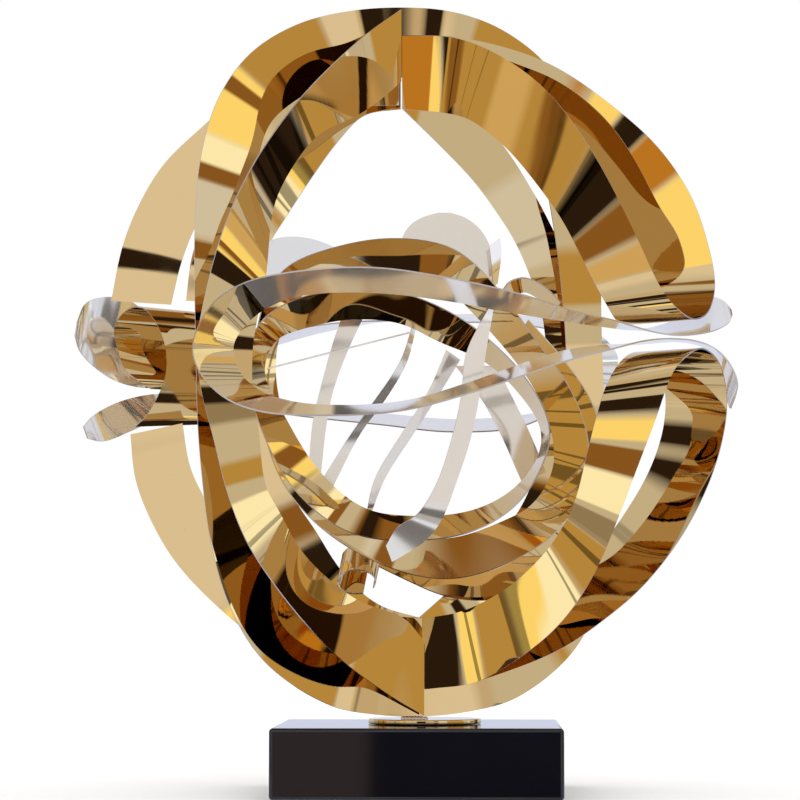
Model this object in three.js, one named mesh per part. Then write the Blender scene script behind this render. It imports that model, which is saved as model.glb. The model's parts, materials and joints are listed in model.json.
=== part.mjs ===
// Abstract sculpture: polished sheet ribbons bent into a ball, on a disc and a square black block.
// Millimetres, Z up. The origin is under the middle of the block, and the front faces -Y.

import * as THREE from "three";

// Block and disc
const BLOCK_SIDE = 280;
const BLOCK_HEIGHT = 68;
const BLOCK_BEVEL = 4;
const DISC_RADIUS = 56;
const DISC_THICKNESS = 5;
const DISC_SEGMENTS = 48;
const TOUCH_GAP = 0.3;

// The ribbons are set out on a full-size front elevation, seen from one sight point in front.
// Across runs to the right and down runs down. A station also says how far each of its two
// edges lies behind the centre plane, or before it where the number is negative.
const AXIS_ACROSS = 419;
const UNDERSIDE_DOWN = 789;
const SIGHT = new THREE.Vector3(63, -3231, 174);

// The ball leans a little to the left, and its rear half is its front half turned about this axis
const AXIS_TOP = new THREE.Vector3(-18, 0, 784);
const AXIS_BOTTOM = new THREE.Vector3(5.5, 0, 75);
const EQUATOR = new THREE.Vector3(-7, 0, 428);

// Sheet
const SHEET = 1.5;
const STEPS_PER_STATION = 4;

// The rod, and the small roll at the lower left: its near rim is an ellipse on the elevation
const ROD_RADIUS = 0.8;
const ROD_SIDES = 8;
const ROLL = { across: 357, down: 581, halfWidth: 19, halfHeight: 12 };
const ROLL_FAR = { across: 5, down: -25, nearDepth: -58, farDepth: -27 };
const ROLL_TURN = { start: 70, end: 390, stations: 9 };

const GOLD = { color: 0xd2a24c, roughness: 0.05, metalness: 1 };
const STEEL = { color: 0xd8d3d0, roughness: 0.05, metalness: 1 };
const BLACK = { color: 0x0b0a0b, roughness: 0.06, metalness: 0 };

const group = new THREE.Group();

function addMesh(name, geometry, finish) {
  const material = new THREE.MeshStandardMaterial({ ...finish, side: THREE.DoubleSide });
  const mesh = new THREE.Mesh(geometry, material);
  mesh.name = name;
  group.add(mesh);
  return mesh;
}

// A place on the elevation, drawn out from the sight point to the depth it really has
function place(across, down, depth) {
  const reach = (depth - SIGHT.y) / -SIGHT.y;
  const x = across - AXIS_ACROSS;
  const z = UNDERSIDE_DOWN - down;
  return new THREE.Vector3(SIGHT.x + (x - SIGHT.x) * reach, depth, SIGHT.z + (z - SIGHT.z) * reach);
}

// Stations: outer across, outer down, inner across, inner down, outer depth, inner depth
function edgesOf(stations) {
  return {
    outer: stations.map((s) => place(s[0], s[1], s[4])),
    inner: stations.map((s) => place(s[2], s[3], s[5])),
  };
}

// The same edges turned half round the leaning axis
function turnedHalfRound(edges) {
  const direction = AXIS_TOP.clone().sub(AXIS_BOTTOM).normalize();
  const turn = (p) => p.clone().sub(AXIS_BOTTOM).applyAxisAngle(direction, Math.PI).add(AXIS_BOTTOM);
  return { outer: edges.outer.map(turn), inner: edges.inner.map(turn) };
}

// The same edges mirrored in the plane that halves the ball at its equator
function mirroredDown(edges) {
  const up = AXIS_TOP.clone().sub(AXIS_BOTTOM).normalize();
  const equator = new THREE.Plane().setFromNormalAndCoplanarPoint(up, EQUATOR);
  const mirror = (p) => p.clone().addScaledVector(up, -2 * equator.distanceToPoint(p));
  return { outer: edges.outer.map(mirror), inner: edges.inner.map(mirror) };
}

function reversed(edges) {
  return { outer: [...edges.outer].reverse(), inner: [...edges.inner].reverse() };
}

// One run of stations after another
function joined(first, second) {
  return {
    outer: [...first.outer, ...second.outer],
    inner: [...first.inner, ...second.inner],
  };
}

// Joins two runs of stations that share their first and last places into one closed hoop
function closedHoop(there, back) {
  return {
    outer: [...there.outer, ...back.outer.slice(1, -1)],
    inner: [...there.inner, ...back.inner.slice(1, -1)],
  };
}

// A strip of sheet: straight lines from edge to edge, of one thickness, closed at both ends
// or all the way round
function sheetGeometry(edges, closed) {
  const outerCurve = new THREE.CatmullRomCurve3(edges.outer, closed, "centripetal");
  const innerCurve = new THREE.CatmullRomCurve3(edges.inner, closed, "centripetal");
  const spans = closed ? edges.outer.length : edges.outer.length - 1;
  const steps = spans * STEPS_PER_STATION;
  const sections = closed ? steps : steps + 1;
  const positions = [];
  const indices = [];

  for (let i = 0; i < sections; i += 1) {
    const u = i / steps;
    const outer = outerCurve.getPoint(u);
    const inner = innerCurve.getPoint(u);
    const along = outerCurve.getTangent(u).add(innerCurve.getTangent(u));
    const across = inner.clone().sub(outer);
    const lift = along.cross(across).setLength(SHEET / 2);
    for (const corner of [outer.clone().add(lift), inner.clone().add(lift),
      inner.clone().sub(lift), outer.clone().sub(lift)]) {
      positions.push(corner.x, corner.y, corner.z);
    }
  }

  // Both faces of the sheet are split along the same diagonals, so it stays as thick where it twists
  for (let i = 0; i < steps; i += 1) {
    const here = i * 4;
    const next = ((i + 1) % sections) * 4;
    for (let k = 0; k < 4; k += 1) {
      const m = (k + 1) % 4;
      if (k < 2) {
        indices.push(here + k, next + k, next + m);
        indices.push(here + k, next + m, here + m);
      } else {
        indices.push(here + k, next + k, here + m);
        indices.push(here + m, next + k, next + m);
      }
    }
  }
  if (!closed) {
    const last = (sections - 1) * 4;
    indices.push(0, 1, 2, 0, 2, 3);
    indices.push(last, last + 2, last + 1, last, last + 3, last + 2);
  }

  const geometry = new THREE.BufferGeometry();
  geometry.setAttribute("position", new THREE.Float32BufferAttribute(positions, 3));
  geometry.setIndex(indices);
  return geometry;
}

function ribbon(name, edges, { closed = false, finish = GOLD } = {}) {
  addMesh(name, sheetGeometry(edges, closed), finish);
}

// Block with a small bevel all round
function block() {
  const half = BLOCK_SIDE / 2 - BLOCK_BEVEL;
  const outline = new THREE.Shape();
  outline.moveTo(-half, -half);
  outline.lineTo(half, -half);
  outline.lineTo(half, half);
  outline.lineTo(-half, half);
  outline.closePath();
  const geometry = new THREE.ExtrudeGeometry(outline, {
    depth: BLOCK_HEIGHT - 2 * BLOCK_BEVEL,
    bevelEnabled: true,
    bevelSize: BLOCK_BEVEL,
    bevelThickness: BLOCK_BEVEL,
    bevelSegments: 2,
  });
  geometry.translate(0, 0, BLOCK_BEVEL);
  addMesh("plinth_block", geometry, BLACK);
}

function disc() {
  const geometry = new THREE.CylinderGeometry(DISC_RADIUS, DISC_RADIUS, DISC_THICKNESS, DISC_SEGMENTS);
  geometry.rotateX(Math.PI / 2);
  const bottom = BLOCK_HEIGHT + TOUCH_GAP;
  geometry.translate(AXIS_BOTTOM.x, 0, bottom + DISC_THICKNESS / 2);
  addMesh("mounting_disc", geometry, GOLD);
}

// Outer bands of the front half
const frontLeftHoop = edgesOf([
  [401, 7, 401, 80, -10, -10],
  [371, 28, 383, 96, -32, -26],
  [340, 55, 357, 114, -75, -50],
  [302, 94, 318, 133, -125, -88],
  [270, 136, 288, 172, -172, -134],
  [248, 172, 272, 210, -208, -174],
  [226, 220, 266, 272, -238, -214],
  [209, 277, 260, 304, -258, -242],
  [197, 345, 253, 347, -268, -256],
  [202, 392, 253, 392, -262, -252],
  [214, 438, 259, 430, -250, -238],
  [228, 492, 265, 482, -228, -212],
  [247, 540, 280, 512, -200, -176],
  [274, 582, 300, 548, -165, -134],
  [306, 622, 326, 576, -122, -92],
  [345, 661, 361, 601, -72, -50],
  [396, 697, 404, 617, -26, -22],
  [423.6, 713, 423.6, 640, -10, -10],
]);

const upperRightLoop = edgesOf([
  [402.4, 34, 402.4, 108, -10, -10],
  [455, 36, 446, 112, -30, -28],
  [498, 53, 472, 120, -56, -54],
  [540, 83, 507, 148, -88, -86],
  [573, 122, 537, 184, -120, -118],
  [603, 170, 562, 220, -150, -148],
  [636, 237, 583, 261, -182, -182],
  [662, 292, 603, 300, -203, -205],
  [684, 316, 616, 321, -192, -192],
  [698, 319, 630, 324, -164, -152],
  [709, 309, 640, 312, -136, -116],
  [714, 284, 644, 288, -118, -94],
  [707, 244, 640, 262, -108, -84],
  [690, 195, 626, 226, -97, -75],
  [657, 146, 600, 186, -79, -57],
  [611, 104, 566, 154, -58, -38],
  [560, 68, 526, 126, -38, -22],
  [516, 49, 494, 114, -23, -15],
  [455, 35, 450, 106, -9, -9],
  [404, 33, 404, 104, -5, -5],
]);

const lowerRightLoop = edgesOf([
  [424.8, 687, 424.8, 617, -10, -10],
  [476, 680, 462, 610, -32, -30],
  [532, 646, 505, 588, -70, -66],
  [563, 617, 535, 562, -96, -92],
  [591, 576, 556, 536, -120, -116],
  [617, 517, 574, 500, -150, -150],
  [634, 472, 584, 462, -172, -174],
  [654, 420, 594, 422, -192, -195],
  [672, 372, 606, 384, -204, -206],
  [690, 353, 622, 360, -190, -190],
  [704, 350, 640, 353, -162, -150],
  [718, 364, 655, 364, -138, -118],
  [725, 396, 664, 394, -124, -98],
  [722, 432, 662, 428, -118, -90],
  [708, 480, 650, 466, -110, -82],
  [680, 535, 628, 506, -93, -67],
  [642, 584, 598, 546, -74, -50],
  [604, 617, 566, 570, -55, -37],
  [560, 647, 532, 590, -36, -24],
  [510, 668, 494, 604, -20, -14],
  [465, 682, 458, 613, -9, -9],
  [427, 687, 427, 617, -5, -5],
]);

// The arch that goes over the top and under the bottom, front left and rear right
const archFront = edgesOf([
  [400.4, 5, 400.4, 76, 0, 0],
  [351, 8, 368, 74, -12, -6],
  [300, 20, 330, 80, -38, -16],
  [250, 50, 296, 98, -74, -40],
  [216, 99, 268, 124, -112, -78],
  [199, 162, 254, 176, -150, -124],
  [194.5, 225, 244, 232, -184, -166],
  [194.5, 290, 238, 292, -214, -200],
  [196, 345, 238, 345, -220, -206],
  [198, 421, 240, 418, -214, -200],
  [203, 480, 250, 470, -184, -166],
  [212, 543, 262, 520, -150, -124],
  [232, 608, 278, 572, -112, -78],
  [268, 663, 304, 606, -74, -40],
  [330, 703, 348, 634, -34, -14],
  [373, 712, 385, 640, -14, -11],
  [423.6, 714, 423.6, 643, 0, 0],
]);

// The level ring at the front, with its rounded ends at the right
const frontEyeRing = edgesOf([
  [731, 316, 730, 311, -112, -108],
  [728, 323, 722, 302, -124, -98],
  [714, 331, 709, 298, -146, -96],
  [694, 335, 702, 312, -172, -104],
  [676, 336, 672, 322, -192, -120],
  [655, 333, 648, 329, -212, -150],
  [640, 329, 628, 330, -226, -178],
  [614, 321, 604, 327, -246, -205],
  [575, 312, 570, 322, -264, -220],
  [523, 295, 520, 314, -286, -242],
  [449, 278, 451, 301, -308, -264],
  [371, 267, 372, 292, -322, -278],
  [288, 272, 300, 295, -326, -282],
  [240, 284, 262, 310, -322, -280],
  [210, 306, 240, 331, -320, -278],
  [192.5, 345, 233, 347, -318, -277],
  [199.5, 371, 240, 373, -320, -278],
  [223, 396, 262, 392, -322, -280],
  [256, 410, 285, 400, -322, -280],
  [305, 415, 318, 405, -322, -280],
  [400, 411, 402, 402, -314, -270],
  [480, 390, 478, 380, -296, -252],
  [563, 362, 556, 353, -266, -222],
  [615, 348.5, 602, 346, -244, -200],
  [640, 342, 632, 345, -228, -178],
  [660, 339.5, 655, 343, -212, -150],
  [676, 339.5, 676, 342, -192, -128],
  [694, 341.5, 698, 346, -172, -110],
  [714, 349.5, 716, 358, -146, -98],
  [729, 366, 722, 385, -128, -94],
  [735.7, 384, 727, 406, -118, -96],
  [733, 398, 728.5, 409, -112, -104],
]);

// The level ring at the rear, with its rounded ends at the left
const rearEyeRing = edgesOf([
  [75, 335, 77, 322, 172, 173],
  [80, 351, 86, 302, 188, 190],
  [100, 371, 110, 296, 214, 216],
  [125, 384, 135, 303, 238, 240],
  [157, 387.5, 172, 340, 254, 244],
  [200, 374, 210, 350, 268, 238],
  [260, 350, 265, 335, 275, 232],
  [340, 328, 345, 322, 292, 247],
  [452, 315, 450, 322, 300, 255],
  [540, 318, 530, 326, 300, 255],
  [590, 330, 570, 338, 298, 252],
  [617, 358, 585, 360, 296, 250],
  [601, 392, 575, 388, 298, 252],
  [545, 412, 530, 424, 300, 256],
  [455, 420, 452, 432, 304, 262],
  [377, 413, 385, 425, 300, 258],
  [300, 408, 310, 417, 285, 240],
  [230, 402, 240, 408, 268, 228],
  [185, 397, 200, 406, 256, 222],
  [157, 394, 168, 414, 240, 214],
  [121, 401, 135, 429, 212, 204],
  [95, 414, 105, 441, 184, 188],
  [84, 426, 88, 438, 164, 168],
]);

// Outer bands of the rear half
const rearRightArch = edgesOf([
  [403, 34, 403, 108, 9, 9],
  [470, 105, 440, 145, 60, 62],
  [507, 150, 473, 180, 108, 110],
  [532, 190, 495, 210, 146, 148],
  [552, 228, 515, 242, 182, 184],
  [570, 270, 531, 280, 212, 212],
  [580, 320, 543, 322, 230, 228],
]);

const rearLeftArch = edgesOf([
  [399, 34, 399, 104, 6, 6],
  [345, 38, 350, 106, 14, 14],
  [283, 58, 305, 120, 28, 28],
  [240, 88, 275, 142, 46, 46],
  [207, 120, 250, 166, 66, 66],
  [165, 160, 216, 196, 88, 88],
  [140, 200, 195, 226, 106, 106],
  [122, 245, 181, 262, 122, 122],
  [111, 300, 171, 304, 136, 136],
]);

const rearLeftArchLower = edgesOf([
  [131, 434, 183, 423, 134, 134],
  [136, 478, 190, 464, 128, 128],
  [153, 522, 205, 497, 110, 110],
  [178, 563, 227, 530, 90, 90],
  [217, 604, 258, 561, 68, 68],
  [262, 640, 292, 585, 46, 46],
  [320, 668, 337, 604, 26, 26],
  [376, 684, 383, 614, 13, 13],
  [422, 687, 422, 617, 6, 6],
]);

const rearMiddleArch = edgesOf([
  [400.4, 34, 400.4, 108, 12, 12],
  [356, 44, 364, 114, 36, 36],
  [312, 66, 338, 140, 64, 64],
  [275, 105, 312, 176, 96, 96],
  [243, 150, 288, 213, 126, 126],
  [216, 200, 270, 242, 152, 152],
  [193, 250, 258, 270, 172, 172],
  [186, 300, 248, 304, 184, 184],
]);

const rearMiddleArchLower = edgesOf([
  [204, 416, 266, 408, 184, 184],
  [212, 470, 276, 455, 172, 172],
  [228, 520, 294, 497, 152, 152],
  [252, 566, 316, 530, 126, 126],
  [285, 610, 336, 562, 96, 96],
  [326, 650, 358, 588, 64, 64],
  [372, 676, 384, 606, 36, 36],
  [422, 688, 422, 617, 16, 16],
]);

// The rolled piece at the left, open at its end
const leftCurl = edgesOf([
  [151, 388, 212, 391, 226, 221],
  [142, 382, 210, 386, 214, 214],
  [127, 371, 200, 376, 210, 222],
  [117, 347, 192, 352, 202, 226],
  [114, 329, 190, 334, 196, 222],
  [119, 317, 192, 322, 190, 212],
  [131, 307, 198, 314, 182, 198],
  [144, 308, 206, 314, 172, 182],
  [158, 326, 214, 330, 160, 168],
  [166, 350, 218, 354, 152, 160],
  [166, 374, 218, 378, 150, 158],
  [158, 396, 214, 398, 152, 160],
  [147, 415, 206, 416, 156, 164],
  [136, 426, 198, 424, 162, 168],
]);

// Nested rings inside the ball
const eggRing = edgesOf([
  [350, 291, 350, 319, -112, -84],
  [405, 294, 400, 323, -112, -84],
  [455, 315, 440, 342, -110, -80],
  [489, 340, 484, 361, -108, -70],
  [523.5, 376, 517, 391, -104, -60],
  [547, 419, 540, 427, -100, -56],
  [547, 450, 538, 456, -98, -56],
  [520, 500, 512, 490, -100, -70],
  [475, 530, 470, 511, -106, -84],
  [412, 540, 412, 516, -112, -90],
  [350, 532, 364, 508, -116, -92],
  [297, 492, 320, 472, -122, -96],
  [262, 430, 284, 415, -128, -100],
  [248, 375, 264, 372, -130, -102],
  [258, 325, 276, 340, -126, -98],
  [298, 298, 308, 327, -118, -90],
]);

const browRing = edgesOf([
  [400, 238, 402, 276, -66, -40],
  [454, 249, 444, 286, -66, -36],
  [492, 282, 472, 312, -64, -30],
  [535, 340, 508, 352, -60, -24],
  [570, 390, 536, 392, -54, -16],
  [587, 440, 552, 436, -48, -10],
  [584, 484, 552, 470, -46, -10],
  [562, 524, 532, 504, -48, -16],
  [520, 556, 500, 522, -52, -24],
  [453, 578, 450, 538, -58, -32],
  [390, 567, 400, 534, -64, -40],
  [322, 528, 345, 506, -72, -48],
  [282, 480, 305, 464, -80, -56],
  [262, 420, 282, 412, -86, -60],
  [254, 350, 276, 352, -88, -62],
  [279, 273, 298, 298, -82, -56],
  [338, 246, 346, 280, -72, -46],
]);

const darkArc = edgesOf([
  [528, 320, 516, 340, 6, 30],
  [563, 360, 545, 372, 4, 28],
  [588, 397, 568, 402, 2, 26],
  [603, 440, 580, 440, 0, 24],
  [605, 480, 582, 476, 0, 24],
  [588, 524, 566, 512, -2, 22],
  [548, 570, 530, 548, -6, 18],
  [500, 597, 492, 570, -10, 12],
  [449, 596, 452, 568, -14, 8],
  [400, 576, 408, 552, -18, 4],
  [352, 552, 364, 532, -22, 0],
]);

// Narrow loops hung between the nested rings
const hangingStrips = [
  ["hanging_strip_a", [
    [488, 309, 493, 310, -136, -134],
    [466, 352, 485, 356, -138, -134],
    [461, 396, 480, 390, -138, -134],
    [451, 440, 471, 436, -138, -134],
    [436, 484, 456, 482, -138, -134],
    [417, 514, 441, 520, -138, -132],
    [397, 527, 424, 541, -136, -128],
    [386, 545, 392, 561, -130, -124],
  ]],
  ["hanging_strip_b", [
    [446, 350, 460, 360, -52, -50],
    [428, 392, 441, 391, -52, -50],
    [400, 436, 412, 436, -50, -48],
    [375, 478, 385, 478, -48, -46],
    [366, 516, 370, 516, -46, -44],
  ]],
  ["hanging_strip_c", [
    [413, 324, 416, 326, -40, -38],
    [400, 362, 407, 362, -40, -38],
    [374, 401, 385, 400, -38, -36],
    [349, 437, 360, 434, -36, -34],
    [322, 480, 332, 489, -34, -32],
  ]],
  ["hanging_strip_d", [
    [342, 316, 364, 316, -24, -22],
    [332, 346, 349, 348, -24, -22],
    [320, 391, 334, 388, -22, -20],
    [313, 422, 327, 422, -20, -18],
    [309, 466, 321, 476, -18, -16],
  ]],
  ["hanging_strip_e", [
    [455, 366, 496, 366, 40, 44],
    [481, 399, 512, 398, 42, 46],
    [500, 434, 529, 433, 44, 48],
    [522, 484, 545, 472, 46, 50],
  ]],
];

// Rounded lobes and small curls behind the rings
const tallLobe = edgesOf([
  [399, 290, 496, 290, 24, 30],
  [400, 262, 494, 262, 24, 30],
  [402, 238, 488, 242, 24, 30],
  [411, 224, 478, 227, 24, 30],
  [424, 216.5, 464, 217, 25, 29],
  [438, 212.5, 450, 212.5, 26, 28],
]);

const lowLobe = edgesOf([
  [262, 243, 262, 278, 36, 30],
  [280, 237, 282, 276, 40, 34],
  [300, 236.5, 304, 272, 44, 38],
  [320, 241, 326, 270, 48, 42],
  [345, 252, 348, 272, 52, 46],
]);

const smallBrowCurl = edgesOf([
  [500, 296, 506, 305, 44, 70],
  [508, 283, 514, 296, 40, 68],
  [522, 278, 524, 292, 38, 66],
  [536, 282, 534, 296, 38, 66],
  [549, 291, 544, 304, 40, 68],
  [560, 303, 552, 314, 44, 70],
]);

const leaf = edgesOf([
  [489, 246, 500, 238, 8, 12],
  [491, 262, 501, 254, 8, 12],
  [493, 286, 497, 284, 8, 12],
]);

// A small roll of sheet, open along its lower right side
function smallRoll() {
  const stations = [];
  for (let i = 0; i < ROLL_TURN.stations; i += 1) {
    const share = i / (ROLL_TURN.stations - 1);
    const turn = THREE.MathUtils.degToRad(THREE.MathUtils.lerp(ROLL_TURN.start, ROLL_TURN.end, share));
    const across = ROLL.across + ROLL.halfWidth * Math.cos(turn);
    const down = ROLL.down + ROLL.halfHeight * Math.sin(turn);
    stations.push([across, down, across + ROLL_FAR.across, down + ROLL_FAR.down,
      ROLL_FAR.nearDepth, ROLL_FAR.farDepth]);
  }
  return edgesOf(stations);
}

// A straight round rod from one place to another
function rod(name, from, to) {
  const length = from.distanceTo(to);
  const geometry = new THREE.CylinderGeometry(ROD_RADIUS, ROD_RADIUS, length, ROD_SIDES);
  const mesh = addMesh(name, geometry, STEEL);
  mesh.position.copy(from).add(to).multiplyScalar(0.5);
  const direction = to.clone().sub(from).normalize();
  mesh.quaternion.setFromUnitVectors(new THREE.Vector3(0, 1, 0), direction);
}

block();
disc();
ribbon("front_left_hoop", frontLeftHoop);
ribbon("upper_right_loop", upperRightLoop);
ribbon("lower_right_loop", lowerRightLoop);
ribbon("tall_arch", closedHoop(archFront, reversed(turnedHalfRound(archFront))), { closed: true });
ribbon("front_eye_ring", frontEyeRing, { finish: STEEL });
ribbon("rear_eye_ring", rearEyeRing, { finish: STEEL });
ribbon("rear_right_hoop", joined(rearRightArch, reversed(mirroredDown(rearRightArch))));
ribbon("rear_left_arch_upper", rearLeftArch);
ribbon("rear_left_arch_lower", rearLeftArchLower);
ribbon("rear_middle_arch_upper", rearMiddleArch);
ribbon("rear_middle_arch_lower", rearMiddleArchLower);
ribbon("left_curl", leftCurl);
ribbon("egg_ring", eggRing, { closed: true });
ribbon("brow_ring", browRing, { closed: true });
ribbon("dark_arc", darkArc);
for (const [name, stations] of hangingStrips) {
  ribbon(name, edgesOf(stations), { finish: STEEL });
}
ribbon("small_low_roll", smallRoll());
rod("thin_rod", place(267.6, 368.4, -100), place(409.4, 332.6, -42));
ribbon("tall_lobe", tallLobe, { finish: STEEL });
ribbon("low_lobe", lowLobe, { finish: STEEL });
ribbon("small_brow_curl", smallBrowCurl);
ribbon("leaf", leaf, { finish: STEEL });

export default group;
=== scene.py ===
import json
import math

import bmesh
import bpy
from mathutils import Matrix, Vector


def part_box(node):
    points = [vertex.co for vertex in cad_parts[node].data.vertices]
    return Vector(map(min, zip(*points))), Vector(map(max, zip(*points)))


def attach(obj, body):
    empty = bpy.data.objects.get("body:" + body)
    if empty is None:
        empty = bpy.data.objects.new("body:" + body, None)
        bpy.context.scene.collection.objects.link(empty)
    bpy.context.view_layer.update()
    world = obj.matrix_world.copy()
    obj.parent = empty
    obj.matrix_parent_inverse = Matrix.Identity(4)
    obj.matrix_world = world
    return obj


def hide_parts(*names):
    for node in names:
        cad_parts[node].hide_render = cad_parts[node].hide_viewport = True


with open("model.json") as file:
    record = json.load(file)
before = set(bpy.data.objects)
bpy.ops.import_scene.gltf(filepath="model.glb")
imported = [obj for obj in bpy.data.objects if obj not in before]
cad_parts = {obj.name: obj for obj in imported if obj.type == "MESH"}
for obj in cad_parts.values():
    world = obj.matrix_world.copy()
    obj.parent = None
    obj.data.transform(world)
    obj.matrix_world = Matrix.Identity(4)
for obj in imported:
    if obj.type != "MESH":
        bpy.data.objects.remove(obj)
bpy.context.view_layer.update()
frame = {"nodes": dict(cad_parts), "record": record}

scene = bpy.context.scene
body = "root"


# Small helpers for meshes, objects and node trees

flatArea = 0.001                  # square metres; a face this broad mirrors truly only if flat
sharpAngle = math.radians(35)     # edges that turn more than this stay crisp


def makePiece(name, bm, materials, nodesReplaced):
    mesh = bpy.data.meshes.new(name)
    bm.to_mesh(mesh)
    bm.free()
    for material in materials:
        mesh.materials.append(material)
    piece = bpy.data.objects.new(name, mesh)
    scene.collection.objects.link(piece)
    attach(piece, body)
    if nodesReplaced:
        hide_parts(*nodesReplaced)


def smoothSmallFaces(bm):
    for face in bm.faces:
        face.smooth = face.calc_area() < flatArea
    for edge in bm.edges:
        if len(edge.link_faces) == 2 and edge.calc_face_angle(0) > sharpAngle:
            edge.smooth = False


def bevelEdges(bm, edges, width, segments):
    bmesh.ops.bevel(bm, geom=edges, offset=width, offset_type="OFFSET", affect="EDGES",
                    segments=segments, profile=0.5, material=-1)


def addNode(tree, kind, place, **values):
    node = tree.nodes.new(kind)
    node.location = place
    for name, value in values.items():
        setattr(node, name, value)
    return node


def newMaterial(name):
    material = bpy.data.materials.new(name)
    material.use_nodes = True
    tree = material.node_tree
    shader = tree.nodes["Principled BSDF"]
    shader.location = (500, 0)
    tree.nodes["Material Output"].location = (800, 0)
    return material, tree, shader


# Camera at the photograph's place, in front and a little above the block

cameraSetup = {
    "place": (0.063, -3.231, 0.174),
    "aim": (-0.019, 0.0, 0.389),
    "lens": 146.3,
    "sensor": 36.0,
    "nearest": 0.05,
    "farthest": 60,
}


def makeCamera(setup):
    data = bpy.data.cameras.new("camera")
    data.lens = setup["lens"]
    data.sensor_width = setup["sensor"]
    data.clip_start = setup["nearest"]
    data.clip_end = setup["farthest"]
    camera = bpy.data.objects.new("camera", data)
    camera.location = setup["place"]
    direction = Vector(setup["aim"]) - Vector(setup["place"])
    camera.rotation_euler = direction.to_track_quat("-Z", "Y").to_euler()
    scene.collection.objects.link(camera)
    scene.camera = camera


makeCamera(cameraSetup)
print("camera made")


# Studio: a pale room with bright and dark cards, placed by their directions from the sculpture.
# Turn is in degrees round from the camera, to the right where positive; rise is above level.

tones = {
    "white": (1.0, 1.05, 1.2),
    "bright": (1.40, 1.62, 1.75),
    "pearl": (0.76, 0.73, 0.70),
    "lavender": (0.90, 1.05, 1.45),
    "yellow": (1.40, 1.32, 0.62),
    "cream": (0.88, 0.72, 0.42),
    "amber": (0.66, 0.48, 0.18),
    "orange": (0.70, 0.35, 0.06),
    "brown": (0.34, 0.18, 0.05),
    "grey": (0.40, 0.38, 0.36),
    "dusk": (0.52, 0.36, 0.30),
    "black": (0.03, 0.02, 0.015),
}

studio = {
    "room": (0.78, 0.84, 0.96),
    "behind": (0.74, 0.79, 0.94),
    "behindFrom": -0.05,
    "behindFull": 0.3,
    "floorLight": 1.22,
    "streaks": {
        "scale": 0.20,
        "detail": 3,
        "low": 0.59,
        "high": 0.63,
        "dark": 0.35,
        "sides": ((-130, -122, -60, -48), (96, 102, 132, 138)),
    },
    "cards": [
        # tone, turn, rise, half width, half height, soft edge; a later card covers an earlier one
        ("pearl", 16, 0, 16, 15, 6),
        ("brown", 0, 76, 180, 11, 6),
        ("black", 50, 74, 26, 5, 4),
        ("lavender", 55, -62, 32, 9, 5),
        ("brown", -28, -66, 40, 5, 4),
        ("brown", 60, -83, 180, 6, 4),
        ("amber", -98, 4, 14, 42, 6),
        ("white", -22, 30, 22, 17, 4),
        ("white", -26, -26, 24, 12, 4),
        ("amber", -66, 24, 15, 14, 3),
        ("brown", -64, 14.5, 9, 2.2, 1.2),
        ("cream", -68, 30, 9, 1.6, 0.8),
        ("brown", -70, 33.6, 9, 0.7, 0.4),
        ("black", -60, 43, 12, 5.2, 2),
        ("brown", -38, 52, 12, 3.5, 2),
        ("cream", -14, 58, 12, 4, 3),
        ("yellow", -41, 20.5, 4.2, 7.0, 1.2),
        ("orange", -41, 8.5, 4.0, 3.5, 1.5),
        ("orange", -48.5, 19, 3.0, 3.4, 0.8),
        ("black", -49.5, 13.4, 3.2, 1.9, 0.6),
        ("yellow", -47, 9, 4, 2.0, 0.6),
        ("amber", 68, 10, 20, 14, 4),
        ("white", 38, 6, 8, 9, 2),
        ("black", 24, 12, 4, 5, 1.5),
        ("yellow", 90, 35, 8, 11, 2),
        ("brown", 86, 30, 4, 2.5, 1),
        ("bright", 103, 5, 4, 4, 1.5),
        ("bright", 83, 48.5, 6, 2.8, 1.5),
        ("brown", 77, 53, 2.2, 2.0, 0.6),
        ("lavender", 67, 56.5, 8, 3.5, 1.5),
        ("brown", 55, 57, 3, 4, 1),
        ("black", 70, 34, 12, 3.6, 1.5),
        ("cream", 103, 24, 5, 4, 2),
        ("amber", 116, -1, 9, 5, 2),
        ("black", 132, 8, 6, 9, 1.5),
        ("black", 15, -38, 4, 3.5, 1),
        ("yellow", 11, -45.5, 5, 3, 1),
        ("brown", -1, -52, 6, 3.4, 1),
        ("bright", -19, -55, 11, 4, 1.5),
        ("grey", -45, -51, 9, 4, 2),
        ("amber", -64, -36, 9, 10, 3),
        ("bright", -66, -22, 9, 3, 0.8),
        ("yellow", -68, -18.6, 9, 1.0, 0.4),
        ("amber", -70, -14, 10, 3.6, 1),
        ("yellow", -61, -8, 6, 2, 0.6),
        ("black", -48, -3, 6, 3, 1.5),
        ("grey", 26, -26, 6, 5, 3),
        ("amber", 57, -37, 7, 5, 3),
        ("bright", 94, -26, 13, 11, 3),
        ("black", -6, -5, 9, 16, 3),
        ("black", 3, -8.5, 7, 7.5, 1.5),
        ("dusk", -4.5, -2.6, 2.5, 1.1, 0.2),
        ("black", 14, -20, 13, 3.2, 1.5),
        ("black", 12, -68, 34, 4.5, 3),
        ("white", 0, 49, 7, 4, 2),
        ("black", -15.5, -25.5, 2.0, 2.2, 0.6),
    ],
}

floorSetup = {
    "radius": 14,
    "sides": 64,
    "colour": (0.92, 0.92, 0.92),
}

nodeGap = 180     # from one node to the next across the studio's tree


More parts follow.
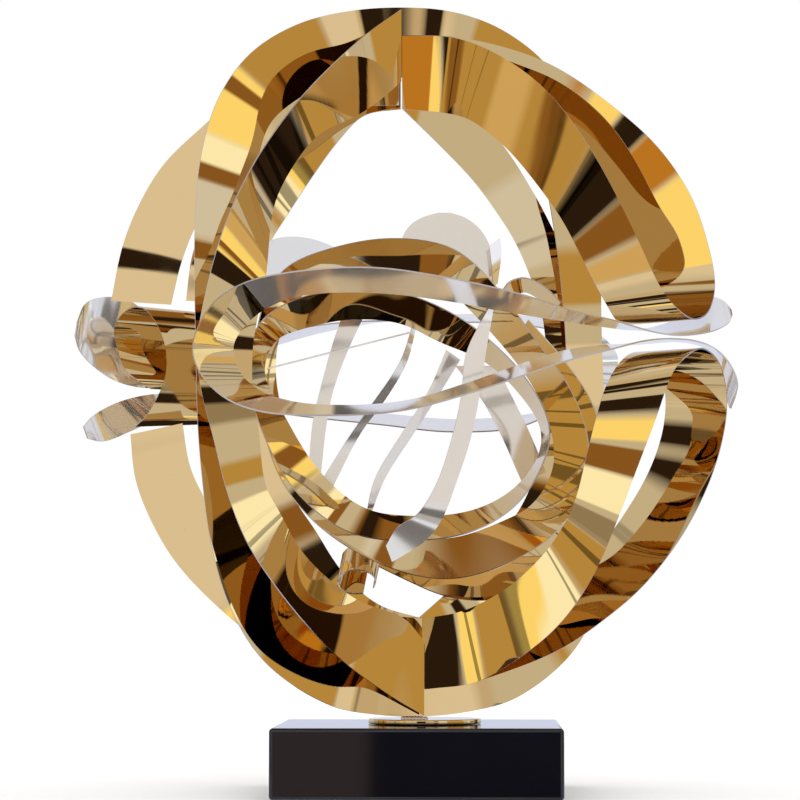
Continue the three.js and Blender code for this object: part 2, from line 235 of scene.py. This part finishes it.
def makeCardMask():
    # White inside a rectangle of directions, given by its middle and its inner and outer half sizes
    group = bpy.data.node_groups.new("cardMask", "ShaderNodeTree")
    for name in ("angles", "middle", "outer", "inner"):
        group.interface.new_socket(name, in_out="INPUT", socket_type="NodeSocketVector")
    group.interface.new_socket("mask", in_out="OUTPUT", socket_type="NodeSocketFloat")
    start = addNode(group, "NodeGroupInput", (-900, 0))
    end = addNode(group, "NodeGroupOutput", (300, 0))
    away = addNode(group, "ShaderNodeVectorMath", (-700, 0), operation="SUBTRACT")
    group.links.new(start.outputs["angles"], away.inputs[0])
    group.links.new(start.outputs["middle"], away.inputs[1])
    size = addNode(group, "ShaderNodeVectorMath", (-500, 0), operation="ABSOLUTE")
    group.links.new(away.outputs[0], size.inputs[0])
    fade = addNode(group, "ShaderNodeMapRange", (-300, 0), data_type="FLOAT_VECTOR")
    fromMin, fromMax = fade.inputs[7], fade.inputs[8]    # the sockets for vectors
    group.links.new(size.outputs[0], fade.inputs["Vector"])
    group.links.new(start.outputs["outer"], fromMin)
    group.links.new(start.outputs["inner"], fromMax)
    sides = addNode(group, "ShaderNodeSeparateXYZ", (-100, 0))
    group.links.new(fade.outputs["Vector"], sides.inputs[0])
    both = addNode(group, "ShaderNodeMath", (100, 0), operation="MULTIPLY")
    group.links.new(sides.outputs["X"], both.inputs[0])
    group.links.new(sides.outputs["Y"], both.inputs[1])
    group.links.new(both.outputs[0], end.inputs["mask"])
    return group


def addDirections(tree):
    # The turn and the rise of each direction in degrees, and how far it points to the rear
    where = addNode(tree, "ShaderNodeTexCoord", (-1500, 0))
    parts = addNode(tree, "ShaderNodeSeparateXYZ", (-1300, 0))
    tree.links.new(where.outputs["Generated"], parts.inputs[0])
    forward = addNode(tree, "ShaderNodeMath", (-1100, -160), operation="MULTIPLY")
    forward.inputs[1].default_value = -1
    tree.links.new(parts.outputs["Y"], forward.inputs[0])
    turn = addNode(tree, "ShaderNodeMath", (-900, -80), operation="ARCTAN2")
    tree.links.new(parts.outputs["X"], turn.inputs[0])
    tree.links.new(forward.outputs[0], turn.inputs[1])
    turnDegrees = addNode(tree, "ShaderNodeMath", (-720, -80), operation="DEGREES")
    tree.links.new(turn.outputs[0], turnDegrees.inputs[0])
    rise = addNode(tree, "ShaderNodeMath", (-900, 160), operation="ARCSINE")
    tree.links.new(parts.outputs["Z"], rise.inputs[0])
    riseDegrees = addNode(tree, "ShaderNodeMath", (-720, 160), operation="DEGREES")
    tree.links.new(rise.outputs[0], riseDegrees.inputs[0])
    return turnDegrees.outputs[0], riseDegrees.outputs[0], parts.outputs["Y"]


def addWalls(tree, rearward, setup):
    back = addNode(tree, "ShaderNodeMapRange", (-500, -300), interpolation_type="SMOOTHSTEP")
    back.inputs["From Min"].default_value = setup["behindFrom"]
    back.inputs["From Max"].default_value = setup["behindFull"]
    tree.links.new(rearward, back.inputs["Value"])
    walls = addNode(tree, "ShaderNodeMix", (-500, 0), data_type="RGBA")
    walls.inputs["A"].default_value = (*setup["room"], 1)
    walls.inputs["B"].default_value = (*setup["behind"], 1)
    tree.links.new(back.outputs["Result"], walls.inputs["Factor"])
    return walls.outputs["Result"]


def addCard(tree, light, angles, cardMask, across, card):
    tone, turnAt, riseAt, halfWidth, halfHeight, edge = card
    soft = edge / 2
    mask = addNode(tree, "ShaderNodeGroup", (across, 300), node_tree=cardMask)
    mask.inputs["middle"].default_value = (turnAt, riseAt, 0)
    mask.inputs["outer"].default_value = (halfWidth + soft, halfHeight + soft, 1)
    mask.inputs["inner"].default_value = (halfWidth - soft, halfHeight - soft, 0)
    tree.links.new(angles, mask.inputs["angles"])
    mix = addNode(tree, "ShaderNodeMix", (across, 0), data_type="RGBA")
    tree.links.new(mask.outputs["mask"], mix.inputs["Factor"])
    tree.links.new(light, mix.inputs["A"])
    mix.inputs["B"].default_value = (*tones[tone], 1)
    return mix.outputs["Result"]


def addSideMask(tree, turn, across, sides):
    # White for the turns at the two sides of the room, each fading in and out
    share = addNode(tree, "ShaderNodeMapRange", (across - 400, 800))
    share.inputs["From Min"].default_value = -180
    share.inputs["From Max"].default_value = 180
    tree.links.new(turn, share.inputs["Value"])
    ramp = addNode(tree, "ShaderNodeValToRGB", (across - 200, 800))
    tree.links.new(share.outputs["Result"], ramp.inputs["Fac"])
    stops = ramp.color_ramp.elements
    stops[0].position = 0
    stops[1].position = 1
    for stop in stops:
        stop.color = (0, 0, 0, 1)
    for side in sides:
        for angle, tone in zip(side, (0, 1, 1, 0)):
            stop = stops.new(angle / 360 + 0.5)
            stop.color = (tone, tone, tone, 1)
    return ramp.outputs["Color"]


def addStreaks(tree, light, angle, aside, across, values):
    # Thin darker bars side by side along one angle, only at the sides of the room
    noise = addNode(tree, "ShaderNodeTexNoise", (across, 500), noise_dimensions="1D")
    noise.inputs["Scale"].default_value = values["scale"]
    noise.inputs["Detail"].default_value = values["detail"]
    tree.links.new(angle, noise.inputs["W"])
    bars = addNode(tree, "ShaderNodeMapRange", (across + 180, 500), interpolation_type="SMOOTHSTEP")
    bars.inputs["From Min"].default_value = values["low"]
    bars.inputs["From Max"].default_value = values["high"]
    bars.inputs["To Min"].default_value = 1
    bars.inputs["To Max"].default_value = values["dark"]
    tree.links.new(noise.outputs["Fac"], bars.inputs["Value"])
    shaded = addNode(tree, "ShaderNodeMix", (across + 360, 0), data_type="RGBA", blend_type="MULTIPLY")
    tree.links.new(aside, shaded.inputs["Factor"])
    tree.links.new(light, shaded.inputs["A"])
    tree.links.new(bars.outputs["Result"], shaded.inputs["B"])
    return shaded.outputs["Result"]


def addPlainLights(tree, background, across, floorLight):
    # The camera sees plain white, and the floor is lit evenly
    plain = addNode(tree, "ShaderNodeBackground", (across, -200))
    even = addNode(tree, "ShaderNodeBackground", (across, -400))
    for node, strength in ((plain, 1.0), (even, floorLight)):
        node.inputs["Color"].default_value = (1, 1, 1, 1)
        node.inputs["Strength"].default_value = strength
    path = addNode(tree, "ShaderNodeLightPath", (across, 300))
    forFloor = addNode(tree, "ShaderNodeMixShader", (across + 250, 0))
    tree.links.new(path.outputs["Is Diffuse Ray"], forFloor.inputs[0])
    tree.links.new(background.outputs[0], forFloor.inputs[1])
    tree.links.new(even.outputs[0], forFloor.inputs[2])
    forCamera = addNode(tree, "ShaderNodeMixShader", (across + 450, 0))
    tree.links.new(path.outputs["Is Camera Ray"], forCamera.inputs[0])
    tree.links.new(forFloor.outputs[0], forCamera.inputs[1])
    tree.links.new(plain.outputs[0], forCamera.inputs[2])
    return forCamera.outputs[0]


def makeWorld(setup):
    world = bpy.data.worlds.new("studio")
    world.use_nodes = True
    world.cycles.sampling_method = "NONE"
    scene.world = world
    tree = world.node_tree

    turn, rise, rearward = addDirections(tree)
    angles = addNode(tree, "ShaderNodeCombineXYZ", (-540, 200))
    tree.links.new(turn, angles.inputs["X"])
    tree.links.new(rise, angles.inputs["Y"])
    light = addWalls(tree, rearward, setup)
    cardMask = makeCardMask()
    across = -300
    for card in setup["cards"]:
        light = addCard(tree, light, angles.outputs[0], cardMask, across, card)
        across += nodeGap
    aside = addSideMask(tree, turn, across, setup["streaks"]["sides"])
    for angle in (turn, rise):
        light = addStreaks(tree, light, angle, aside, across, setup["streaks"])
        across += 4 * nodeGap

    background = tree.nodes["Background"]
    background.location = (across, 0)
    tree.links.new(light, background.inputs["Color"])
    surface = addPlainLights(tree, background, across + 300, setup["floorLight"])
    output = tree.nodes["World Output"]
    output.location = (across + 1000, 0)
    tree.links.new(surface, output.inputs["Surface"])


def makeFloor(setup):
    bm = bmesh.new()
    bmesh.ops.create_circle(bm, cap_ends=True, segments=setup["sides"], radius=setup["radius"])
    mesh = bpy.data.meshes.new("floor")
    bm.to_mesh(mesh)
    bm.free()
    material, tree, shader = newMaterial("floorPaper")
    shader.inputs["Base Color"].default_value = (*setup["colour"], 1)
    shader.inputs["Roughness"].default_value = 1
    shader.inputs["Specular IOR Level"].default_value = 0
    mesh.materials.append(material)
    floor = bpy.data.objects.new("floor", mesh)
    floor.visible_glossy = False
    scene.collection.objects.link(floor)


makeWorld(studio)
makeFloor(floorSetup)
scene.view_settings.view_transform = "Standard"
scene.view_settings.look = "None"
print("studio made")


# Finishes

goldFinish = {
    "colour": (0.70, 0.49, 0.225),
    "speckColour": (0.45, 0.30, 0.12),
    "roughness": 0.015,
    "metallic": 1.0,
    "smudge": 0.05,
    "smudgeSize": 9.0,
    "speckSize": 240.0,
}

steelFinish = {
    **goldFinish,
    "colour": (0.88, 0.83, 0.77),
    "speckColour": (0.64, 0.60, 0.56),
    "roughness": 0.07,
    "metallic": 0.84,
}

edgeFinish = {
    "colour": (0.60, 0.52, 0.46),
    "smoothest": 0.21,
    "roughest": 0.45,
    "grainSize": 900.0,
}

blockFinish = {
    "colour": (0.003, 0.003, 0.005),
    "paleColour": (0.006, 0.006, 0.010),
    "cloudSize": 5.0,
    "specular": 0.5,
    "roughness": 0.03,
    "smudge": 0.06,
    "smudgeSize": 8.0,
    "speckSize": 200.0,
}

# How much of a surface the smudges and specks take up, and how soft they are
markSetup = {
    "cloudDetail": 3,
    "cloudRoughness": 0.6,
    "smudgeFrom": 0.5,
    "smudgeFull": 0.78,
    "speckRim": 0.16,
    "speckCore": 0.06,
    "bareShare": 0.90,
    "speckShare": 0.93,
}

markInputs = ("roughness", "smudge", "smudgeSize", "speckSize")


def makeHandlingMarks(setup):
    # Smudges that dull the polish, and a few fine specks
    group = bpy.data.node_groups.new("handlingMarks", "ShaderNodeTree")
    for name in markInputs:
        group.interface.new_socket(name, in_out="INPUT", socket_type="NodeSocketFloat")
    for name in ("roughness", "specks"):
        group.interface.new_socket(name, in_out="OUTPUT", socket_type="NodeSocketFloat")
    start = addNode(group, "NodeGroupInput", (-900, 0))
    end = addNode(group, "NodeGroupOutput", (700, 0))
    where = addNode(group, "ShaderNodeTexCoord", (-900, 300))

    cloud = addNode(group, "ShaderNodeTexNoise", (-600, 200))
    cloud.inputs["Detail"].default_value = setup["cloudDetail"]
    cloud.inputs["Roughness"].default_value = setup["cloudRoughness"]
    group.links.new(where.outputs["Object"], cloud.inputs["Vector"])
    group.links.new(start.outputs["smudgeSize"], cloud.inputs["Scale"])
    patches = addNode(group, "ShaderNodeMapRange", (-380, 200))
    patches.inputs["From Min"].default_value = setup["smudgeFrom"]
    patches.inputs["From Max"].default_value = setup["smudgeFull"]
    group.links.new(cloud.outputs["Fac"], patches.inputs["Value"])
    amount = addNode(group, "ShaderNodeMath", (-160, 200), operation="MULTIPLY")
    group.links.new(patches.outputs["Result"], amount.inputs[0])
    group.links.new(start.outputs["smudge"], amount.inputs[1])
    total = addNode(group, "ShaderNodeMath", (60, 200), operation="ADD")
    group.links.new(amount.outputs[0], total.inputs[0])
    group.links.new(start.outputs["roughness"], total.inputs[1])
    group.links.new(total.outputs[0], end.inputs["roughness"])

    cells = addNode(group, "ShaderNodeTexVoronoi", (-600, -160))
    group.links.new(where.outputs["Object"], cells.inputs["Vector"])
    group.links.new(start.outputs["speckSize"], cells.inputs["Scale"])
    dots = addNode(group, "ShaderNodeMapRange", (-380, -160))
    dots.inputs["From Min"].default_value = setup["speckRim"]
    dots.inputs["From Max"].default_value = setup["speckCore"]
    group.links.new(cells.outputs["Distance"], dots.inputs["Value"])
    few = addNode(group, "ShaderNodeMapRange", (-380, -420))
    few.inputs["From Min"].default_value = setup["bareShare"]
    few.inputs["From Max"].default_value = setup["speckShare"]
    group.links.new(cells.outputs["Color"], few.inputs["Value"])
    specks = addNode(group, "ShaderNodeMath", (-100, -200), operation="MULTIPLY")
    group.links.new(dots.outputs["Result"], specks.inputs[0])
    group.links.new(few.outputs["Result"], specks.inputs[1])
    group.links.new(specks.outputs[0], end.inputs["specks"])
    return group


handlingMarks = makeHandlingMarks(markSetup)


def placeMarks(tree, values):
    marks = addNode(tree, "ShaderNodeGroup", (-300, -100), node_tree=handlingMarks)
    for name in markInputs:
        marks.inputs[name].default_value = values[name]
    return marks


def makeMirror(name, values):
    material, tree, shader = newMaterial(name)
    marks = placeMarks(tree, values)
    speckled = addNode(tree, "ShaderNodeMix", (100, 300), data_type="RGBA")
    speckled.inputs["A"].default_value = (*values["colour"], 1)
    speckled.inputs["B"].default_value = (*values["speckColour"], 1)
    tree.links.new(marks.outputs["specks"], speckled.inputs["Factor"])
    tree.links.new(speckled.outputs["Result"], shader.inputs["Base Color"])
    tree.links.new(marks.outputs["roughness"], shader.inputs["Roughness"])
    shader.inputs["Metallic"].default_value = values["metallic"]
    return material


def makeCutEdge(values):
    material, tree, shader = newMaterial("cutEdge")
    where = addNode(tree, "ShaderNodeTexCoord", (-700, 0))
    grain = addNode(tree, "ShaderNodeTexNoise", (-500, 0))
    grain.inputs["Scale"].default_value = values["grainSize"]
    tree.links.new(where.outputs["Object"], grain.inputs["Vector"])
    rough = addNode(tree, "ShaderNodeMapRange", (-200, 0))
    rough.inputs["To Min"].default_value = values["smoothest"]
    rough.inputs["To Max"].default_value = values["roughest"]
    tree.links.new(grain.outputs["Fac"], rough.inputs["Value"])
    tree.links.new(rough.outputs["Result"], shader.inputs["Roughness"])
    shader.inputs["Base Color"].default_value = (*values["colour"], 1)
    shader.inputs["Metallic"].default_value = 1
    return material


def makeBlockGloss(values):
    material, tree, shader = newMaterial("blackGloss")
    marks = placeMarks(tree, values)
    where = addNode(tree, "ShaderNodeTexCoord", (-900, 300))
    cloud = addNode(tree, "ShaderNodeTexNoise", (-700, 300))
    cloud.inputs["Scale"].default_value = values["cloudSize"]
    tree.links.new(where.outputs["Object"], cloud.inputs["Vector"])
    tone = addNode(tree, "ShaderNodeMix", (-300, 300), data_type="RGBA")
    tone.inputs["A"].default_value = (*values["colour"], 1)
    tone.inputs["B"].default_value = (*values["paleColour"], 1)
    tree.links.new(cloud.outputs["Fac"], tone.inputs["Factor"])
    tree.links.new(tone.outputs["Result"], shader.inputs["Base Color"])
    tree.links.new(marks.outputs["roughness"], shader.inputs["Roughness"])
    shader.inputs["Specular IOR Level"].default_value = values["specular"]
    return material


goldSheet = makeMirror("goldSheet", goldFinish)
steelSheet = makeMirror("steelSheet", steelFinish)
sheetFinish = {"gilt_sheet": goldSheet, "bright_sheet": steelSheet}
cutEdge = makeCutEdge(edgeFinish)
blackGloss = makeBlockGloss(blockFinish)
print("finishes made")


# Ribbons: each is one strip drawn along the middle of its CAD sheet, with straight lines from
# edge to edge as bent sheet has, and then given its thickness

sheetWork = {
    "thickness": 0.0015,
    "slack": 0.00003,
    "merge": 0.00001,
    "stepsPerSection": 3,
    "cornerAngle": 40,
    # The front ring is gilt from its left end to this place across, and other pale sheets nowhere
    "giltUpTo": {"front_eye_ring": -0.143},
    "giltNowhere": -1.0,
}

otherNodes = ("plinth_block", "mounting_disc", "thin_rod")
slotOf = {part["node"]: part["material_slot"] for part in frame["record"]["subparts"]}
rimMaterial, giltMaterial = 1, 2     # places in a ribbon's list of materials, after its own face's


def linkCuts(bm, work):
    # A cut edge crosses the sheet's thickness. It has two neighbours round the sheet's rim, and is
    # tied to cut edges on the far side of the band by lines over the sheet's face.
    cuts = [e for e in bm.edges if abs(e.calc_length() - work["thickness"]) < work["slack"]]
    owner = {vert: edge for edge in cuts for vert in edge.verts}
    beside = {edge: [] for edge in cuts}
    tied = {edge: set() for edge in cuts}
    for edge in cuts:
        for face in edge.link_faces:
            for vert in face.verts:
                if vert in owner and owner[vert] != edge and owner[vert] not in beside[edge]:
                    beside[edge].append(owner[vert])
    for edge in cuts:
        for vert in edge.verts:
            others = (owner.get(line.other_vert(vert)) for line in vert.link_edges)
            tied[edge].update(e for e in others if e and e != edge and e not in beside[edge])
    return beside, tied


def walkRim(beside, start, onward):
    run = [start, onward]
    while True:
        ahead = [edge for edge in beside[run[-1]] if edge != run[-2]]
        if not ahead or ahead[0] == start:
            return run
        run.append(ahead[0])


def middleOf(edge):
    return (edge.verts[0].co + edge.verts[1].co) / 2


def totalWidth(pairs):
    return sum((middleOf(a) - middleOf(b)).length for a, b in pairs)


def pairClosed(beside, tied):
    # A closed band has two rims. Of the ways to match them, the one with the shortest lines is right.
    start = min(tied, key=lambda edge: tuple(middleOf(edge)))
    near = walkRim(beside, start, beside[start][0])
    choices = []
    for match in tied[start]:
        for onward in beside[match]:
            choices.append(list(zip(near, walkRim(beside, match, onward))))
    return min(choices, key=totalWidth)


def pairOpen(beside, tied, loose):
    # An open strip has one rim, which runs up one side, over the end and down the other
    start = min(loose, key=lambda edge: tuple(middleOf(edge)))
    partner = min(beside[start], key=lambda edge: len(tied[edge]))
    onward = [edge for edge in beside[start] if edge != partner][0]
    rim = walkRim(beside, start, onward)
    half = len(rim) // 2
    return list(zip(rim[:half], reversed(rim[half:])))


def readSections(nodeName, work):
    bm = bmesh.new()
    bm.from_mesh(frame["nodes"][nodeName].data)
    bmesh.ops.remove_doubles(bm, verts=bm.verts, dist=work["merge"])
    beside, tied = linkCuts(bm, work)
    loose = [edge for edge in tied if not tied[edge]]
    closed = not loose
    pairs = pairClosed(beside, tied) if closed else pairOpen(beside, tied, loose)
    sections = [(middleOf(a), middleOf(b)) for a, b in pairs]
    bm.free()
    return sections, closed


def splinePoint(points, share):
    # Uniform cubic B-spline through four points that follow each other
    before, start, end, after = points
    rest = 1 - share
    return (before * rest ** 3 + start * (3 * share ** 3 - 6 * share ** 2 + 4)
            + end * (-3 * share ** 3 + 3 * share ** 2 + 3 * share + 1) + after * share ** 3) / 6


def refine(points, closed, steps):
    count = len(points)
    if closed:
        padded = [points[-1], *points, points[0], points[1]]
    else:
        padded = [2 * points[0] - points[1], *points, 2 * points[-1] - points[-2]]
    spans = count if closed else count - 1
    fine = [splinePoint(padded[i:i + 4], k / steps) for i in range(spans) for k in range(steps)]
    if not closed:
        fine.append(points[-1].copy())
    return fine


def drawStrip(sections, closed, work):
    near, far = zip(*sections)
    steps = work["stepsPerSection"]
    rungs = list(zip(refine(near, closed, steps), refine(far, closed, steps)))
    if closed:
        rungs.append(rungs[0])
    bm = bmesh.new()
    edge = bm.edges.new([bm.verts.new(place) for place in rungs[0]])
    for last, rung in zip(rungs, rungs[1:]):
        made = bmesh.ops.extrude_edge_only(bm, edges=[edge])["geom"]
        fresh = [item for item in made if isinstance(item, bmesh.types.BMVert)]
        edge = [item for item in made if isinstance(item, bmesh.types.BMEdge)][0]
        fresh.sort(key=lambda vert: (vert.co - last[0]).length)
        for vert, place in zip(fresh, rung):
            vert.co = place
    for face in bm.faces:
        face.smooth = True
    if closed:
        bmesh.ops.remove_doubles(bm, verts=bm.verts, dist=work["merge"])
    bmesh.ops.recalc_face_normals(bm, faces=bm.faces[:])
    return bm


def thicken(bm, work, giltLeftOf):
    # The strip moves out by half the thickness first, so that the sheet lies about its middle
    bm.normal_update()
    half = work["thickness"] / 2
    for vert, normal in [(v, v.normal.copy()) for v in bm.verts]:
        vert.co += normal * half
    front = set(bm.verts)
    bmesh.ops.solidify(bm, geom=bm.faces[:], thickness=work["thickness"])
    for face in bm.faces:
        shared = sum(vert in front for vert in face.verts)
        if 0 < shared < len(face.verts):
            face.material_index = rimMaterial
        elif face.calc_center_median().x < giltLeftOf:
            face.material_index = giltMaterial
    cornerAngle = math.radians(work["cornerAngle"])
    for edge in bm.edges:
        kinds = {face.material_index for face in edge.link_faces}
        if len(kinds) > 1 or (kinds == {rimMaterial} and edge.calc_face_angle(0) > cornerAngle):
            edge.smooth = False


def makeRibbon(nodeName, work):
    sections, closed = readSections(nodeName, work)
    bm = drawStrip(sections, closed, work)
    thicken(bm, work, work["giltUpTo"].get(nodeName, work["giltNowhere"]))
    slotName = slotOf[nodeName]
    finishes = (sheetFinish[slotName], cutEdge, goldSheet)
    makePiece(nodeName + "_sheet", bm, finishes, (nodeName,))
    print("ribbon", nodeName, len(sections), "sections")


for nodeName in sorted(set(frame["nodes"]) - set(otherNodes)):
    makeRibbon(nodeName, sheetWork)


# Thin rod, round, from the left of the front opening to its right

rodWork = {
    "radius": 0.0008,
    "sides": 24,
}


def makeRod(work):
    places = [vert.co for vert in frame["nodes"]["thin_rod"].data.vertices]
    middle = sum(places, Vector()) / len(places)
    tip = max((place - middle for place in places), key=lambda away: away.length)
    near = [place for place in places if (place - middle).dot(tip) > 0]
    halfLength = sum(near, Vector()) / len(near) - middle
    bm = bmesh.new()
    bmesh.ops.create_cone(bm, cap_ends=True, segments=work["sides"], radius1=work["radius"],
                          radius2=work["radius"], depth=2 * halfLength.length)
    turn = halfLength.to_track_quat("Z", "Y").to_matrix()
    bmesh.ops.rotate(bm, cent=(0, 0, 0), matrix=turn, verts=bm.verts)
    bmesh.ops.translate(bm, vec=middle, verts=bm.verts)
    smoothSmallFaces(bm)
    makePiece("round_rod", bm, (steelSheet,), ("thin_rod",))


makeRod(rodWork)
print("rod made")


# Black block

blockWork = {
    "bevel": 0.0035,
    "segments": 4,
}


def makeBlock(work):
    low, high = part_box("plinth_block")
    bm = bmesh.new()
    bmesh.ops.create_cube(bm, size=1)
    bmesh.ops.scale(bm, vec=high - low, verts=bm.verts)
    bmesh.ops.translate(bm, vec=(low + high) / 2, verts=bm.verts)
    bevelEdges(bm, bm.edges[:], work["bevel"], work["segments"])
    smoothSmallFaces(bm)
    makePiece("black_block", bm, (blackGloss,), ("plinth_block",))


makeBlock(blockWork)
print("block made")


# Mounting disc with its weld beads

discWork = {
    "sides": 128,
    "bevel": 0.0012,
    "bevelSegments": 3,
}

beadWork = {
    "radius": 0.0021,
    "stretch": 1.2,
    "count": 8,
    "row": 0.022,
    "left": 0.010,
    "forward": 0.010,
}


def makeDisc(work):
    low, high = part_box("mounting_disc")
    radius = (high.x - low.x) / 2
    bm = bmesh.new()
    bmesh.ops.create_cone(bm, cap_ends=True, segments=work["sides"], radius1=radius,
                          radius2=radius, depth=high.z - low.z)
    bmesh.ops.translate(bm, vec=(low + high) / 2, verts=bm.verts)
    rims = [edge for edge in bm.edges if edge.calc_face_angle(0) > sharpAngle]
    bevelEdges(bm, rims, work["bevel"], work["bevelSegments"])
    smoothSmallFaces(bm)
    makePiece("gold_disc", bm, (goldSheet,), ("mounting_disc",))


def makeBeads(work):
    low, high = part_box("mounting_disc")
    middle = (low + high) / 2
    bm = bmesh.new()
    for number in range(work["count"]):
        along = (number / (work["count"] - 1) - 0.5) * work["row"]
        made = bmesh.ops.create_icosphere(bm, subdivisions=3, radius=work["radius"])
        bmesh.ops.scale(bm, vec=(work["stretch"], 1, 1), verts=made["verts"])
        place = Vector((middle.x + along - work["left"], -work["forward"], high.z))
        bmesh.ops.translate(bm, vec=place, verts=made["verts"])
    smoothSmallFaces(bm)
    makePiece("weld_beads", bm, (cutEdge,), ())


makeDisc(discWork)
makeBeads(beadWork)
print("disc and beads made")
